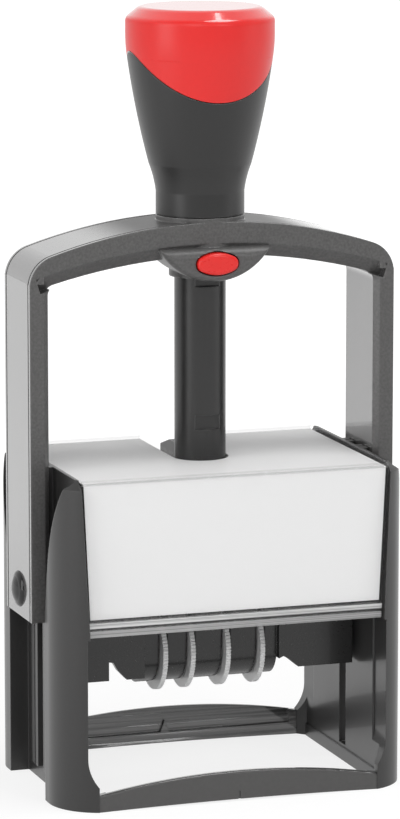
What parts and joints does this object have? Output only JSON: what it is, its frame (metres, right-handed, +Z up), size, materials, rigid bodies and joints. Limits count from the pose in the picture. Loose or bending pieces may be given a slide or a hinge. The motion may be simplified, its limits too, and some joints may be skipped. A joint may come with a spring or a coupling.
{
  "type": "self-inking date stamp machine",
  "caption": "Free-standing self-inking date stamp: flared handle and yoke press a flipping date unit with thumbwheels down through an open-fronted frame.",
  "frame": {"origin": "on the floor, midway between the arms and midway front to back, under the handle's centre line", "axes": "+X towards the right arm seen from the front, +Y to the back, where the ink pad slides out, +Z up the handle"},
  "size_m": [0.0964, 0.0612, 0.19],
  "materials": {
    "charcoal_frame": "satin, fine grained",
    "charcoal_yoke": "satin face with a smooth glossy outer band",
    "handle_charcoal": "satin",
    "cap_red": "satin gloss",
    "button_red": "gloss",
    "tube_black": "satin",
    "bar_black": "gloss",
    "clear_plastic": "clear gloss",
    "white_card": "matte card",
    "deck_black": "satin",
    "steel": "bright",
    "pin_black": "high gloss",
    "unit_black": "gloss",
    "holder_grey": "satin",
    "plate_rubber": "matte rubber",
    "wheel_grey": "translucent satin",
    "band_rubber": "matte rubber",
    "tray_black": "satin",
    "pad_felt": "inked felt"
  },
  "bodies": {
    "base": {"right_side_frame": "charcoal_frame", "left_side_frame": "charcoal_frame", "front_bar": "bar_black", "back_bar": "bar_black", "clear_cover": "clear_plastic", "index_card": "white_card", "top_deck": "deck_black", "guide_tube": "tube_black", "deck_screws": "steel", "main_spring": "steel"},
    "yoke": {"yoke_frame": "charcoal_yoke", "handle_body": "handle_charcoal", "handle_cap": "cap_red", "spring_seat": "deck_black", "button_spring": "steel", "right_axle_pin": "pin_black", "left_axle_pin": "pin_black"},
    "button": {"lock_button": "button_red"},
    "print_unit": {"unit_frame": "unit_black", "carrier_plate": "unit_black", "plate_holder": "holder_grey", "text_plate": "plate_rubber", "band_bridge": "unit_black", "wheel_axle": "steel", "date_band_1": "band_rubber", "date_band_2": "band_rubber", "date_band_3": "band_rubber", "date_band_4": "band_rubber"},
    "pad_drawer": {"pad_tray": "tray_black", "ink_pad": "pad_felt"},
    "wheel_1": {"thumbwheel_1": "wheel_grey"},
    "wheel_2": {"thumbwheel_2": "wheel_grey"},
    "wheel_3": {"thumbwheel_3": "wheel_grey"},
    "wheel_4": {"thumbwheel_4": "wheel_grey"}
  },
  "joints": [
    {"name": "yoke_press", "type": "slide", "parent": "base", "child": "yoke", "axis": [0, 0, -1], "range_m": [0, 0.04], "stiffness_N_per_m": 400, "springref_m": -0.03, "deforming": ["main_spring"]},
    {"name": "unit_flip", "type": "hinge", "parent": "yoke", "child": "print_unit", "pos_m": [0, 0, 0.0495], "axis": [1, 0, 0], "range_deg": [0, 180]},
    {"name": "button_press", "type": "slide", "parent": "yoke", "child": "button", "axis": [0, 1, 0], "range_m": [0, 0.0015], "stiffness_N_per_m": 800, "springref_m": -0.001, "deforming": ["button_spring"]},
    {"name": "pad_slide", "type": "slide", "parent": "base", "child": "pad_drawer", "axis": [0, 1, 0], "range_m": [0, 0.056]},
    {"name": "wheel_1_turn", "type": "hinge", "parent": "print_unit", "child": "wheel_1", "pos_m": [-0.0121, 0, 0.032], "axis": [1, 0, 0], "continuous": true},
    {"name": "wheel_2_turn", "type": "hinge", "parent": "print_unit", "child": "wheel_2", "pos_m": [-0.005, 0, 0.032], "axis": [1, 0, 0], "continuous": true},
    {"name": "wheel_3_turn", "type": "hinge", "parent": "print_unit", "child": "wheel_3", "pos_m": [0.0041, 0, 0.032], "axis": [1, 0, 0], "continuous": true},
    {"name": "wheel_4_turn", "type": "hinge", "parent": "print_unit", "child": "wheel_4", "pos_m": [0.013, 0, 0.032], "axis": [1, 0, 0], "continuous": true}
  ],
  "couplings": [
    {"joint": "unit_flip", "follows": "yoke_press", "rad_per_m": 78.54}
  ]
}
